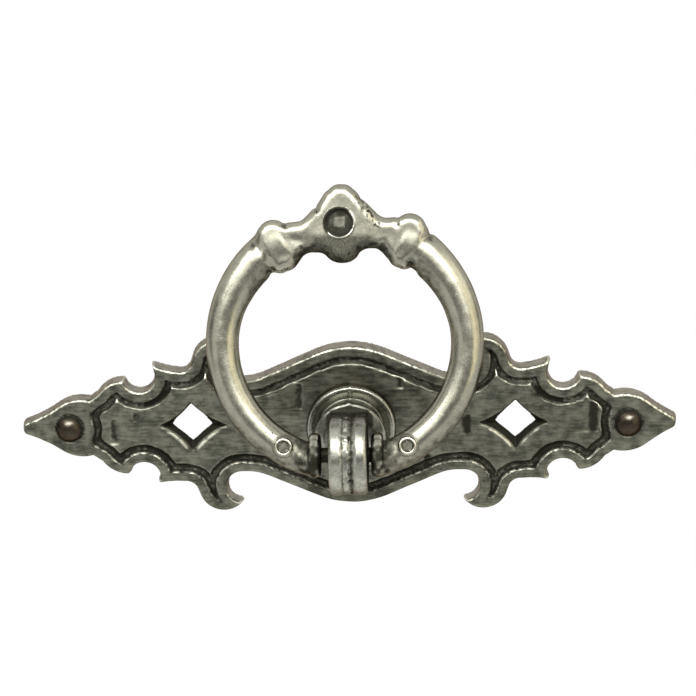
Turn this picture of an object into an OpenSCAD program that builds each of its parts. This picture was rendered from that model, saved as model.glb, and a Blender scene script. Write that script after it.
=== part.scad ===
// Drawer pull: a swinging ring in a central post, on a pierced ornamental backplate.
// X runs along the plate, +Z is up, and the plate's back lies on the plane Y = 0 with its front towards -Y.
// The origin is on the post's screw axis, at the back of the plate.

/* [Backplate] */
// Reach of the right tip from the post, at the front edge
tip_right = 54.0; // [52:0.5:66]
// Reach of the left tip, which the pattern maker cut a little longer
tip_left = 55.4; // [52:0.5:66]
// Thickness over the raised rim
plate_t = 2.4; // [2:0.1:4]
// How much each wall flares from the front edge to the back
draft = 0.4; // [0.1:0.05:0.6]
// Width of the raised rim
rim_w = 1.7; // [1.2:0.1:2.4]
// Width of the groove inside the rim
groove_w = 1.2; // [0.6:0.1:1.4]
// Depth of the groove below the rim
groove_d = 1.1; // [0.6:0.1:1.4]
// Depth of the field below the rim
field_d = 0.45; // [0.2:0.05:0.8]
// Distance from the post to the groove that crosses each arm
cross_x = 43.9; // [42.5:0.1:44.2]
// Distance from the post to the middle of the left diamond
diamond_left_x = 27.0; // [26:0.1:28]
// Distance from the post to the middle of the right diamond
diamond_right_x = 27.5; // [26:0.1:28]
// Half length of a diamond at the front, between its points
diamond_rx = 6.3; // [5:0.1:6.8]
// Half height of a diamond at the front
diamond_rz = 4.9; // [4:0.1:5.2]
// Half length of the straight diamond that goes right through
through_rx = 3.4; // [2.5:0.1:4]
// Half height of the straight diamond that goes right through
through_rz = 3.1; // [2.5:0.1:3.6]

/* [Nails] */
// Distance from a tip of the plate to the middle of its nail
nail_inset = 7.8; // [7:0.1:8.5]
// Diameter of the domed head
nail_head_d = 4.7; // [3.5:0.1:5.5]
// Height of the domed head
nail_head_h = 1.5; // [0.8:0.1:2]
// Diameter of the shank
nail_shank_d = 1.8; // [1.2:0.1:2.2]
// Diameter of the neck under the head, which fills the plate's hole
nail_neck_d = 2.4; // [2.3:0.1:3]
// Length of the shank behind the plate
nail_reach = 12; // [8:1:20]

/* [Post] */
// Height of the pivot in front of the plate's back
pivot_h = 15.3; // [14.5:0.1:19]
// Diameter of the knuckle that holds the ring
knuckle_d = 13; // [11:0.2:14]
// Width of the knuckle along the pivot
knuckle_w = 6.2; // [5:0.1:8]
// Diameter of the lower disc
lower_disc_d = 15; // [14:0.2:17]
// Diameter of the upper disc
upper_disc_d = 11.8; // [10:0.2:13]
// Diameter of the stem that passes through the plate
stem_d = 8; // [7:0.1:9]
// Nominal diameter of the tapped hole in the back of the stem
screw_d = 4; // [3:0.5:5]
// Depth of the tapped hole
screw_depth = 8; // [6:0.5:8.5]

/* [Ring] */
// Radius of the ring, to the middle of its bar
ring_r = 19.8; // [17:0.1:24]
// Diameter of the bar
bar_d = 5.3; // [4:0.1:6]
// Diameter of the trunnions that turn in the knuckle
trunnion_d = 2.4; // [2:0.1:3]
// Diameter of the collars beside the knuckle
collar_d = 7.2; // [5.4:0.1:7.4]
// Thickness of a collar
collar_w = 1.9; // [1:0.1:2]
// Gap between the knuckle and each collar, with the ring in the middle
collar_gap = 1.0; // [0.5:0.1:2]
// How far the ring has slid to the left along its pivot
ring_slide = 0.4; // [0:0.1:0.4]
// Thickness of the crest's middle from front to back
crest_t = 5.8; // [5.2:0.1:6.6]
// Thickness of the knobs beside it
knob_t = 5.4; // [5:0.1:6.2]
// Diameter of the round recess in the crest
recess_d = 4.5; // [3:0.1:5]

/* [Fits] */
// Clearance on the radius between a trunnion and its bore
running_gap = 0.05; // [0.02:0.01:0.1]
// Clearance on the radius between a fixed piece and its hole
seat_gap = 0.05; // [0.02:0.01:0.15]

/* [Hidden] */
$fn = 96;
arc_step = 12;          // degrees of arc for each stretch of an outline
eps = 0.01;

field_y = plate_t - field_d;
trunnion_r = trunnion_d / 2;
knuckle_r = knuckle_d / 2;
bar_r = bar_d / 2;

// Ornamental outline, front edge, right upper quarter
lug_top_z = 10.9;       // height of the upper square lug
lug_bottom_z = 10.0;    // height of the lower one, which is cut a little shorter
diamond_bow = 0.6;      // how far a diamond's sides bow inwards
diamond_flare = 1.3;    // how much the diamond's pocket narrows towards the back
pocket_stop = 0.25;     // thickness left under the pocket of a diamond

// Shallow chisel cuts in the field of the right half: [left, bottom, right, top]
chisel_d = 0.22;
chisel_cuts = [[8.3, 3.0, 12.5, 6.6], [17.2, -2.3, 19.6, 1.0], [29.4, 4.2, 30.9, 7.2], [34.8, 0.7, 40.2, 2.6],
               [37.2, -2.6, 40.2, 0.7], [9.5, -7.4, 13.6, -4.4], [21.2, 3.6, 23.4, 5.4], [29.0, -6.6, 33.2, -4.6]];

// The ring's ends run into the collars a little below the pivot
ring_drop = 0.9;
collar_x = knuckle_w / 2 + collar_gap;
end_x = collar_x + collar_w / 2;
ring_rise = sqrt(pow(ring_r, 2) - pow(end_x, 2)) - ring_drop;
ring_top = ring_rise + ring_r;

// Towards the crest the inside of the bar swells along a tighter arc
swell_at = [1.3, -1.55];    // its centre from the ring's centre, on the right
swell_r = ring_r - 1.05;
swell_from = 12;            // angles above the horizontal
swell_to = 62;
swell_bar_r = bar_r - 0.05;

// Crest of the ring: lobes as [x, height above the ring's top centre, radius]
crown = [0, 3.1, 2.55];
shoulder = [2.4, 0.2, 2.6];
shield = [0, -1.0, 4.1];
drop = [0, -4.3, 2.6];
crest_edge = 1.6;       // how far the edges of the lobes are rounded
arm_r = 2.5;            // radius of the arms from the knobs to the shield
arm_z = -2.6;           // their height from the ring's top centre
knob_at = 32.6;         // angle of each pair of knobs from the ring's top
knob_out = [1.15, 2.6]; // outer knob: distance outside the ring's circle, and radius
knob_in = [-2.9, 2.1];  // inner knob
recess_at = [-0.5, -0.7];
recess_depth = 0.9;
cup_x = end_x + 4.9;    // raised cups on the front of the ring's ends
cup_z = ring_rise - sqrt(pow(ring_r, 2) - pow(cup_x, 2)) + 0.5;
cup_d = 3.0;
cup_dimple_d = 1.8;
cup_rise = 0.7;
cup_depth = 0.6;
trunnion_apart = 1.2;   // gap between the two trunnions inside the knuckle

// The ring leans back until the crest rests on the plane of the plate's back
edge_z = ring_top + crown[1] + crown[2] - crest_edge;
edge_y = crest_t / 2 - crest_edge;
lean = asin((pivot_h - crest_edge) / norm([edge_z, edge_y])) - atan2(edge_y, edge_z);

// Points after the first of an arc from p to q. A positive radius bows to the left of the way, 0 is straight.
function arc_to(p, q, r) =
    r == 0 ? [q] :
    let (half = norm(q - p) / 2,
         along = (q - p) / (2 * half),
         side = [-along[1], along[0]] * sign(r),
         turn = asin(half / abs(r)),
         centre = (p + q) / 2 - side * abs(r) * cos(turn),
         n = max(1, ceil(2 * turn / arc_step)))
    [for (i = [1:n]) let (a = turn * (2 * i / n - 1)) centre + abs(r) * (side * cos(a) + along * sin(a))];

// A whole path from corners that each give the radius of the arc to the next corner
function path(corners) =
    concat([[corners[0][0], corners[0][1]]],
           [for (i = [1:len(corners) - 1])
               each arc_to([corners[i - 1][0], corners[i - 1][1]], [corners[i][0], corners[i][1]], corners[i - 1][2])]);

// Corners of one quarter, from the top of the central swell, round the hook, the lug and the scallop, to the tip
function quarter(tip, lug_z) = path([
    [0, 13.9, 14],              // central swell
    [5.7, 12.7, 0],
    [14.4, 8.85, -8.5],
    [17.8, 8.1, 0],
    [18.75, 8.1, -2.9],         // inside of the hook
    [21.65, 11.0, -2.9],
    [19.3, 13.83, 0.3],         // tip of the hook
    [19.15, 13.9, 4.05],        // back of the hook
    [22.1, 15.2, 4.05],
    [25.75, 12.85, 0],
    [26.4, 11.0, -2.2],
    [28.6, 9.8, -14],
    [32.9, lug_z, 0],           // square lug
    [32.55, 9.1, -2.87],        // scallop
    [35.4, 6.25, -2.87],
    [38.15, 8.28, 5],           // spur
    [42.35, 5.95, 0],
    [43.9, 4.85, 6],            // onion-shaped end
    [49.15, 3.9, -25],
    [tip - 0.35, 0.9, 0.95],
    [tip, 0, 0]]);

function flip(points, sx, sz) = [for (p = points) [sx * p[0], sz * p[1]]];
function reverse(points) = [for (i = [len(points) - 1:-1:0]) points[i]];
function half(tip) = concat(quarter(tip, lug_top_z), reverse(flip(quarter(tip, lug_bottom_z), 1, -1)));

function apart(points) = [for (i = [0:len(points) - 1])
    if (norm(points[i] - points[(i + len(points) - 1) % len(points)]) > eps) points[i]];

contour = apart(concat(half(tip_right), reverse(flip(half(tip_left), -1, 1))));
module outline() polygon(contour);

function unit(v) = v / norm(v);
function left_of(v) = [-v[1], v[0]];

// The contour's points moved outwards, each along the mitre of its two edges
function grown(by) = let (n = len(contour)) [for (i = [0:n - 1])
    let (before = left_of(unit(contour[i] - contour[(i + n - 1) % n])),
         after = left_of(unit(contour[(i + 1) % n] - contour[i])),
         mitre = unit(before + after))
    contour[i] + mitre * by / max(0.6, mitre * after)];

// What the walls' draft takes away: a frame round the contour whose inner side leans outwards to the back
module flare() {
    over = 0.2;
    n = len(contour);
    loops = [[0 - draft * over / plate_t, plate_t + over], [draft + draft * over / plate_t, -over],
             [1, -over], [1, plate_t + over]];
    points = [for (l = loops) each [for (p = grown(l[0])) [p[0], p[1], l[1]]]];
    polyhedron(points, [for (k = [0:3], i = [0:n - 1])
        [k * n + i, k * n + (i + 1) % n, (k + 1) % 4 * n + (i + 1) % n, (k + 1) % 4 * n + i]]);
}

// Stands a flat shape on the plane Y = 0 with its height towards the front
module stand(from = 0) translate([0, -from, 0]) rotate([90, 0, 0]) children();

// The sunk middle of the plate, inside the rim and between the two cross grooves
module sunk() intersection() {
    offset(delta = -rim_w) outline();
    square([2 * cross_x + groove_w, 40], center = true);
}

module diamond(rx, rz) polygon([[rx, 0], [0, rz], [-rx, 0], [0, -rz]]);

// One diamond: a pocket between four bowed, sloping sides, and a straight hole through
module diamond_hole() {
    chord = norm([diamond_rx, diamond_rz]);
    r = pow(chord, 2) / (8 * diamond_bow) + diamond_bow / 2;
    out = [diamond_rz, diamond_rx] / chord;
    centre = [diamond_rx, diamond_rz] / 2 + out * (r - diamond_bow);
    stand(-1) linear_extrude(plate_t + 2) diamond(through_rx, through_rz);
    stand(pocket_stop) difference() {
        linear_extrude(plate_t - pocket_stop + eps) diamond(diamond_rx, diamond_rz);
        for (sx = [-1, 1], sz = [-1, 1])
            translate([sx * centre[0], sz * centre[1], -eps])
                cylinder(h = plate_t - pocket_stop + 3 * eps, r1 = r + diamond_flare, r2 = r);
    }
}

module chisel(c) translate([c[0], -field_y - 1, c[1]]) cube([c[2] - c[0], 1 + chisel_d, c[3] - c[1]]);

module backplate() color([0.33, 0.33, 0.30]) difference() {
    stand() linear_extrude(plate_t) offset(r = 0.6) outline();
    stand() flare();
    stand(field_y) linear_extrude(field_d + 1) sunk();
    stand(plate_t - groove_d) linear_extrude(groove_d + 1) difference() {
        sunk();
        offset(delta = -groove_w) sunk();
    }
    for (x = [-diamond_left_x, diamond_right_x]) translate([x, 0, 0]) diamond_hole();
    for (side = [0, 1]) mirror([side, 0, 0]) for (c = chisel_cuts) chisel(c);
    stand(-1) cylinder(h = plate_t + 2, d = stem_d + 2 * seat_gap);
    for (x = [tip_right - nail_inset, -tip_left + nail_inset])
        translate([x, 0, 0]) stand(-1) cylinder(h = plate_t + 2, d = nail_neck_d + 2 * seat_gap);
}

// Knuckle profile as [radius, place along the pivot]: two rounded bands with a low ridge between two grooves
module knuckle_profile() {
    edge = 0.8;
    w = knuckle_w / 2;
    polygon(concat(
        [[0, -w]],
        [for (a = [0:15:90]) [knuckle_r - edge + edge * sin(a), -w + edge - edge * cos(a)]],
        [[knuckle_r, -1.1], [knuckle_r - 0.45, -0.7], [knuckle_r - 0.1, -0.3], [knuckle_r - 0.1, 0.1],
         [knuckle_r - 0.45, 0.6], [knuckle_r, 1.2]],
        [for (a = [90:-15:0]) [knuckle_r - edge + edge * sin(a), w - edge + edge * cos(a)]],
        [[0, w]]));
}

// Half section of the post's turned foot as [radius, height in front of the plate's back]
module foot_profile() {
    lower_r = lower_disc_d / 2;
    upper_r = upper_disc_d / 2;
    neck_r = upper_r - 0.9;
    lower_top = field_y + 2.0;
    upper_top = pivot_h - knuckle_r - 0.8;
    polygon(concat(
        [[0, 0], [stem_d / 2, 0], [stem_d / 2, field_y], [lower_r, field_y], [lower_r, lower_top - 0.5],
         [lower_r - 0.3, lower_top], [lower_r - 0.9, lower_top], [neck_r + 0.3, lower_top - 0.4]],
        [[neck_r, lower_top + 0.6], [neck_r, upper_top - 1.6]],
        [[upper_r, upper_top - 0.8], [upper_r, upper_top - 0.3], [upper_r - 0.3, upper_top],
         [upper_r - 1.5, upper_top + 0.5], [0, upper_top + 0.5]]));
}

module post() color([0.55, 0.55, 0.50]) difference() {
    union() {
        stand() rotate_extrude() foot_profile();
        translate([0, -pivot_h, 0]) rotate([0, 90, 0]) rotate_extrude() knuckle_profile();
        translate([-knuckle_w / 2 + 0.4, -pivot_h, -4.6]) cube([knuckle_w - 0.8, knuckle_r + 0.5, 9.2]);
    }
    stand(-1) cylinder(h = screw_depth + 1, d = screw_d);
    translate([-knuckle_w, -pivot_h, 0]) rotate([0, 90, 0])
        cylinder(h = 2 * knuckle_w, r = trunnion_r + running_gap);
}

// Bar between two points of the ring's own plane, given as [x, height]
module bar(p, q, r) {
    d = q - p;
    translate([p[0], 0, p[1]]) rotate([0, 90 - atan2(d[1], d[0]), 0]) cylinder(h = norm(d), r = r);
}

// Disc with rounded edges at a place [x, height] of the ring's own plane
module lobe(place, r, t) translate([place[0], 0, place[1]]) rotate([90, 0, 0]) rotate_extrude()
    polygon(concat(
        [[0, -t / 2]],
        [for (a = [-90:15:0]) [r - crest_edge + crest_edge * cos(a), -t / 2 + crest_edge + crest_edge * sin(a)]],
        [for (a = [0:15:90]) [r - crest_edge + crest_edge * cos(a), t / 2 - crest_edge + crest_edge * sin(a)]],
        [[0, t / 2]]));

// Place of a knob, from its distance outside the ring's circle
function on_ring(out, side) = [side * (ring_r + out) * sin(knob_at), ring_rise + (ring_r + out) * cos(knob_at)];

module crest() {
    for (l = [crown, shield, drop])
        lobe([l[0], ring_top + l[1]], l[2], crest_t);
    for (side = [-1, 1]) {
        lobe([side * shoulder[0], ring_top + shoulder[1]], shoulder[2], knob_t);
        lobe(on_ring(knob_out[0], side), knob_out[1], knob_t);
        lobe(on_ring(knob_in[0], side), knob_in[1], knob_t);
        translate([on_ring(0, side)[0], 0, on_ring(0, side)[1]]) sphere(r = bar_r);
        bar([0, ring_top + arm_z], [on_ring(0, side)[0], ring_top + arm_z - 0.4], arm_r);
    }
}

// Arc of round bar in the ring's own plane, about a centre [x, height], between two angles above the horizontal
module arc_bar(centre, arc_r, r, from, to) translate([centre[0], 0, centre[1]]) rotate([90, 0, 0])
    rotate([0, 0, from]) rotate_extrude(angle = to - from) translate([arc_r, 0]) circle(r = r);

// The ring upright about its pivot, before it leans back
module ring_upright() {
    end_angle = asin(end_x / ring_r);
    difference() {
        union() {
            crest();
            for (side = [0, 1]) mirror([side, 0, 0]) {
                arc_bar([0, ring_rise], ring_r, bar_r, end_angle - 90, 90 - knob_at);
                arc_bar([swell_at[0], ring_rise + swell_at[1]], swell_r, swell_bar_r, swell_from, swell_to);
                translate([swell_at[0] + swell_r * cos(swell_to), 0, ring_rise + swell_at[1] + swell_r * sin(swell_to)])
                    sphere(r = bar_r);
                translate([collar_x, 0, 0]) rotate([0, 90, 0]) cylinder(h = collar_w, d = collar_d);
                translate([trunnion_apart / 2, 0, 0]) rotate([0, 90, 0])
                    cylinder(h = collar_x - trunnion_apart / 2 + eps, r = trunnion_r);
                translate([cup_x, 0, cup_z]) rotate([90, 0, 0]) cylinder(h = bar_r + cup_rise, d = cup_d);
            }
        }
        translate([recess_at[0], -crest_t / 2 + recess_depth, ring_top + recess_at[1]]) rotate([90, 0, 0])
            cylinder(h = crest_t, d = recess_d);
        for (side = [-1, 1])
            translate([side * cup_x, -bar_r - cup_rise + cup_depth, cup_z]) rotate([90, 0, 0])
                cylinder(h = bar_r, d = cup_dimple_d);
    }
}

module ring() color([0.66, 0.65, 0.60])
    translate([-ring_slide, -pivot_h, 0]) rotate([-lean, 0, 0]) ring_upright();

// Domed nail with a neck and a pointed shank, driven through one end of the plate
module nail() color([0.30, 0.24, 0.19]) {
    head_r = nail_head_d / 2;
    dome_r = (pow(head_r, 2) + pow(nail_head_h, 2)) / (2 * nail_head_h);
    point = 2 * nail_shank_d;
    stand(plate_t) intersection() {
        translate([0, 0, nail_head_h - dome_r]) sphere(r = dome_r);
        cylinder(h = 2 * nail_head_h, r = head_r);
    }
    stand() cylinder(h = plate_t + eps, d = nail_neck_d);
    stand(-nail_reach + point) cylinder(h = nail_reach - point + eps, d = nail_shank_d);
    stand(-nail_reach) cylinder(h = point + eps, d1 = 0.3, d2 = nail_shank_d);
}

module nail_left() translate([-tip_left + nail_inset, 0, 0]) nail();
module nail_right() translate([tip_right - nail_inset, 0, 0]) nail();

backplate();
post();
ring();
nail_left();
nail_right();
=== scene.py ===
"""Looks of a drawer pull: a swinging ring in a post, on a pierced ornamental backplate.

Each casting is modelled as a distance field in millimetres, meshed here, and stands for its CAD node.
X runs along the plate, +Z is up, the plate's back lies on Y = 0 and its front faces -Y.
"""
from copy import copy
import math

import bpy
import numpy as np
from mathutils import Matrix, Vector


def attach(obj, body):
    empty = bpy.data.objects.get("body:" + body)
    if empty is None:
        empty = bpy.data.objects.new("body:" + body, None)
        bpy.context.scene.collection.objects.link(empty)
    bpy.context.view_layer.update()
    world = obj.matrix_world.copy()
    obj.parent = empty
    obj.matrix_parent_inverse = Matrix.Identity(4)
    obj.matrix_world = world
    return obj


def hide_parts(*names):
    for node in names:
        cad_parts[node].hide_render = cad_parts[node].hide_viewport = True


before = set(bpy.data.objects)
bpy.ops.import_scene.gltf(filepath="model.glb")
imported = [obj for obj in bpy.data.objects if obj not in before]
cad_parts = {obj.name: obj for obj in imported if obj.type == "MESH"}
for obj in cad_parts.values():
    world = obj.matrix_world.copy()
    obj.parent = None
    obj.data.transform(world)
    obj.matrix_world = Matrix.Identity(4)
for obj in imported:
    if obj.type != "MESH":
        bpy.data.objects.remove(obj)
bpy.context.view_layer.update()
scene = bpy.context.scene
MM = 0.001

# Sizes of the CAD model, in millimetres
TIP_RIGHT = 54.0
TIP_LEFT = 55.4
PLATE_T = 2.4
DRAFT = 0.4
RIM_W = 1.7
GROOVE_W = 1.2
GROOVE_D = 1.1
FIELD_D = 0.45
DIAMOND_LEFT_X = 27.0
DIAMOND_RIGHT_X = 27.5
DIAMOND_RX = 6.3
THROUGH_RX = 3.4
DIAMOND_BOW = 0.6
DIAMOND_FLARE = 1.3
POCKET_STOP = 0.25
NAIL_INSET = 7.8
NAIL_HEAD_D = 4.7
NAIL_HEAD_H = 1.5
NAIL_NECK_D = 2.4
NAIL_SHANK_D = 1.8
NAIL_REACH = 12.0
PIVOT_H = 15.3
KNUCKLE_D = 13.0
KNUCKLE_W = 6.2
LOWER_DISC_D = 15.0
UPPER_DISC_D = 11.8
STEM_D = 8.0
SCREW_D = 4.0
SCREW_DEPTH = 8.0
RING_R = 19.8
BAR_D = 5.3
TRUNNION_D = 2.4
TRUNNION_APART = 1.2
COLLAR_D = 7.2
COLLAR_W = 1.9
COLLAR_GAP = 1.0
RING_SLIDE = 0.4
RING_DROP = 0.9
CREST_T = 5.8
KNOB_T = 5.4
RECESS_D = 4.5
RECESS_AT = (-0.5, -0.7)
RUNNING_GAP = 0.05
SEAT_GAP = 0.05

# Sizes of the ornament that follow the piece more closely than the CAD model's plainer forms
CROSS_LEFT_X = 43.1
CROSS_RIGHT_X = 42.5
DIAMOND_RZ = 4.7
DIAMOND_LOW_RZ = 5.6
DIAMOND_IN_RX = 7.15
THROUGH_HIGH_RZ = 3.8
THROUGH_LOW_RZ = 3.0
CUP_R = 1.45
CUP_RISE = 0.5
DIMPLE_R = 1.0
DIMPLE_RISE = 0.12
RECESS_DEPTH = 0.65
LIP_R = 0.16

FIELD_Y = PLATE_T - FIELD_D
COLLAR_X = KNUCKLE_W / 2 + COLLAR_GAP
END_X = COLLAR_X + COLLAR_W / 2
RING_RISE = math.sqrt(RING_R ** 2 - END_X ** 2) - RING_DROP
RING_TOP = RING_RISE + RING_R
BAR_R = BAR_D / 2
NAIL_PLACES = (NAIL_INSET - TIP_LEFT, TIP_RIGHT - NAIL_INSET)
CUP_X = END_X + 4.9
CUP_Z = RING_RISE - math.sqrt(RING_R ** 2 - CUP_X ** 2) + 0.5

# The ring's lean at rest, from where the crest's rounded back edge meets the plane of the plate's back
CREST_EDGE = 1.6
CROWN_Z = RING_TOP + 3.1
CROWN_R = 2.55
EDGE_Z = CROWN_Z + CROWN_R - CREST_EDGE
EDGE_Y = CREST_T / 2 - CREST_EDGE
LEAN = math.asin((PIVOT_H - CREST_EDGE) / math.hypot(EDGE_Z, EDGE_Y)) - math.atan2(EDGE_Y, EDGE_Z)


# Fields: numbers below zero are inside


def smooth_max(a, b, k):
    """The larger of two fields, with a rounding of about k where they meet."""
    blend = np.maximum(k - np.abs(a - b), 0) / k
    return np.maximum(a, b) + blend ** 2 * k / 4


def smooth_min(a, b, k):
    return -smooth_max(-a, -b, k)


def smooth_step(low, high, x):
    t = np.clip((x - low) / (high - low), 0, 1)
    return t * t * (3 - 2 * t)


def bell(x, middle, width):
    return np.exp(-((x - middle) / width) ** 2)


LATTICE = 32
LATTICES = np.random.default_rng(7).random((4, LATTICE, LATTICE, LATTICE))


def noise(x, y, z, size, which=0):
    """Smooth random value from -1 to 1, whose bumps are about this size."""
    lattice = LATTICES[which]
    low, part = [], []
    for c in (x, y, z):
        c = np.asarray(c, float) / size + 100.5
        whole = np.floor(c)
        low.append(whole.astype(int) % LATTICE)
        part.append((c - whole) ** 2 * (3 - 2 * (c - whole)))
    total = 0
    for dx in (0, 1):
        wx = part[0] if dx else 1 - part[0]
        ix = (low[0] + dx) % LATTICE
        for dy in (0, 1):
            wy = part[1] if dy else 1 - part[1]
            iy = (low[1] + dy) % LATTICE
            for dz in (0, 1):
                wz = part[2] if dz else 1 - part[2]
                iz = (low[2] + dz) % LATTICE
                total = total + wx * wy * wz * lattice[ix, iy, iz]
    return 2 * total - 1


def outline_distance(points, x, z):
    """Distance from a closed outline, below zero inside it."""
    nearest = np.full(x.shape, 1e9)
    inside = np.zeros(x.shape, bool)
    for (ax, az), (bx, bz) in zip(points, points[1:] + points[:1]):
        ex, ez = bx - ax, bz - az
        t = np.clip(((x - ax) * ex + (z - az) * ez) / (ex * ex + ez * ez), 0, 1)
        nearest = np.minimum(nearest, (x - ax - t * ex) ** 2 + (z - az - t * ez) ** 2)
        if az != bz:
            crossed = ((az > z) != (bz > z)) & (x < ax + (z - az) * ex / ez)
            inside ^= crossed
    return np.where(inside, -1, 1) * np.sqrt(nearest)


class Plan:
    """Values worked out on a fine flat grid and read back at any place."""

    def __init__(self, value, low, high, step):
        self.low, self.step = low, step
        axes = [np.arange(low[i], high[i] + step, step) for i in (0, 1)]
        x, z = np.meshgrid(*axes, indexing="ij")
        self.values = value(x, z)

    def steepness(self):
        """Plan of the same grid: how much longer the surface is than its plan, because it slopes."""
        made = copy(self)
        made.values = np.sqrt(1 + sum(g ** 2 for g in np.gradient(self.values, self.step)))
        return made

    def at(self, x, z):
        n, m = self.values.shape
        u = np.clip((x - self.low[0]) / self.step, 0, n - 1.001)
        v = np.clip((z - self.low[1]) / self.step, 0, m - 1.001)
        i, j = u.astype(int), v.astype(int)
        u, v = u - i, v - j
        g = self.values
        return (g[i, j] * (1 - u) * (1 - v) + g[i + 1, j] * u * (1 - v)
                + g[i, j + 1] * (1 - u) * v + g[i + 1, j + 1] * u * v)


# Outlines from corners and arcs

ARC_STEP = math.radians(6)


def arc_to(p, q, r):
    """Points after p of an arc to q. A radius above zero bows to the left of the way, and 0 is straight."""
    if r == 0:
        return [tuple(q)]
    p, q = Vector(p), Vector(q)
    half = (q - p).length / 2
    along = (q - p).normalized()
    side = Vector((-along.y, along.x)) * math.copysign(1, r)
    turn = math.asin(min(1, half / abs(r)))
    centre = (p + q) / 2 - side * abs(r) * math.cos(turn)
    n = max(1, math.ceil(2 * turn / ARC_STEP))
    made = []
    for i in range(1, n + 1):
        a = turn * (2 * i / n - 1)
        made.append(tuple(centre + abs(r) * (side * math.cos(a) + along * math.sin(a))))
    return made


def path(corners):
    """Points of a line through corners given as x, z and the radius of the arc to the next corner."""
    points = [corners[0][:2]]
    for a, b in zip(corners, corners[1:]):
        points += arc_to(a[:2], b[:2], a[2])
    return points


def closed(points):
    """The points without those that repeat the one before."""
    return [p for i, p in enumerate(points) if math.dist(p, points[i - 1]) > 0.01]


def flipped(points, sx, sz):
    return [(sx * x, sz * z) for x, z in points]


def plate_quarter(tip, lug_z):
    """A quarter of the plate's outline, from above the post to a tip, with a square lug of this height."""
    return path([
        (0, 13.9, 14), (5.7, 12.7, 0), (14.4, 8.85, -8.5), (17.8, 8.1, 0), (18.75, 8.1, -2.9),
        (21.65, 11.0, -2.9), (19.3, 13.83, 0.3), (19.15, 13.9, 4.05), (22.1, 15.2, 4.05), (25.75, 12.85, 0),
        (26.4, 11.0, -2.2), (28.6, 9.8, -14), (32.9, lug_z, 0), (32.55, 9.1, -2.87), (35.4, 6.25, -2.87),
        (38.15, 8.28, 5), (42.35, 5.95, 0), (43.9, 4.85, 6), (49.15, 3.9, -25), (tip - 0.35, 0.9, 0.95),
        (tip, 0, 0)])


def plate_half(tip):
    return plate_quarter(tip, 10.9) + flipped(plate_quarter(tip, 10.0), 1, -1)[::-1]


PLATE_OUTLINE = closed(plate_half(TIP_RIGHT) + flipped(plate_half(TIP_LEFT), -1, 1)[::-1])


# Meshing


def surface_net(values, low, step):
    """Vertices and quads of the zero level of a block of values."""
    inside = values < 0
    shape = np.array(values.shape)
    cells = shape - 1
    total = np.zeros((int(np.prod(cells)), 3))
    count = np.zeros(len(total))
    quads = []
    for axis in range(3):
        b, c = (axis + 1) % 3, (axis + 2) % 3
        one = np.eye(3, dtype=int)
        first = tuple(slice(0, -1) if i == axis else slice(None) for i in range(3))
        after = tuple(slice(1, None) if i == axis else slice(None) for i in range(3))
        at = np.argwhere(inside[first] != inside[after])
        va = values[tuple(at.T)]
        vb = values[tuple((at + one[axis]).T)]
        point = at.astype(float)
        point[:, axis] += va / (va - vb)
        ids = []
        for ob, oc in ((-1, -1), (0, -1), (0, 0), (-1, 0)):
            cell = at + ob * one[b] + oc * one[c]
            ids.append((cell[:, 0] * cells[1] + cell[:, 1]) * cells[2] + cell[:, 2])
            for i in range(3):
                total[:, i] += np.bincount(ids[-1], point[:, i], len(total))
            count += np.bincount(ids[-1], minlength=len(total))
        quad = np.stack(ids, 1)
        backwards = ~inside[tuple(at.T)]
        quad[backwards] = quad[backwards, ::-1]
        quads.append(quad)
    used = np.flatnonzero(count)
    number = np.zeros(len(total), int)
    number[used] = np.arange(len(used))
    vertices = total[used] / count[used, None] * step + low
    return vertices, number[np.concatenate(quads)]


def slope(field, p, delta=0.03):
    """Gradient of a field at points."""
    made = np.zeros_like(p)
    for i in range(3):
        step = np.zeros(3)
        step[i] = delta
        made[:, i] = (field(*(p + step).T) - field(*(p - step).T)) / (2 * delta)
    return made


AROUND = [Vector(v).normalized() for v in
          [(1, 0, 0), (-1, 0, 0), (0, 1, 0), (0, -1, 0), (0, 0, 1), (0, 0, -1)]
          + [(sx, sy, sz) for sx in (-1, 1) for sy in (-1, 1) for sz in (-1, 1)]]


def bulge(field, p, reach):
    """How much the surface bulges round each point: above zero on edges, below it in creases."""
    total = 0
    for u in AROUND:
        total = total + field(*(p + reach * np.array(u)).T)
    return total / (len(AROUND) * reach)


SNAPS = 2       # how often the vertices are moved onto the surface
EDGE_REACH = 0.5
CREASE_REACH = 0.7


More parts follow.
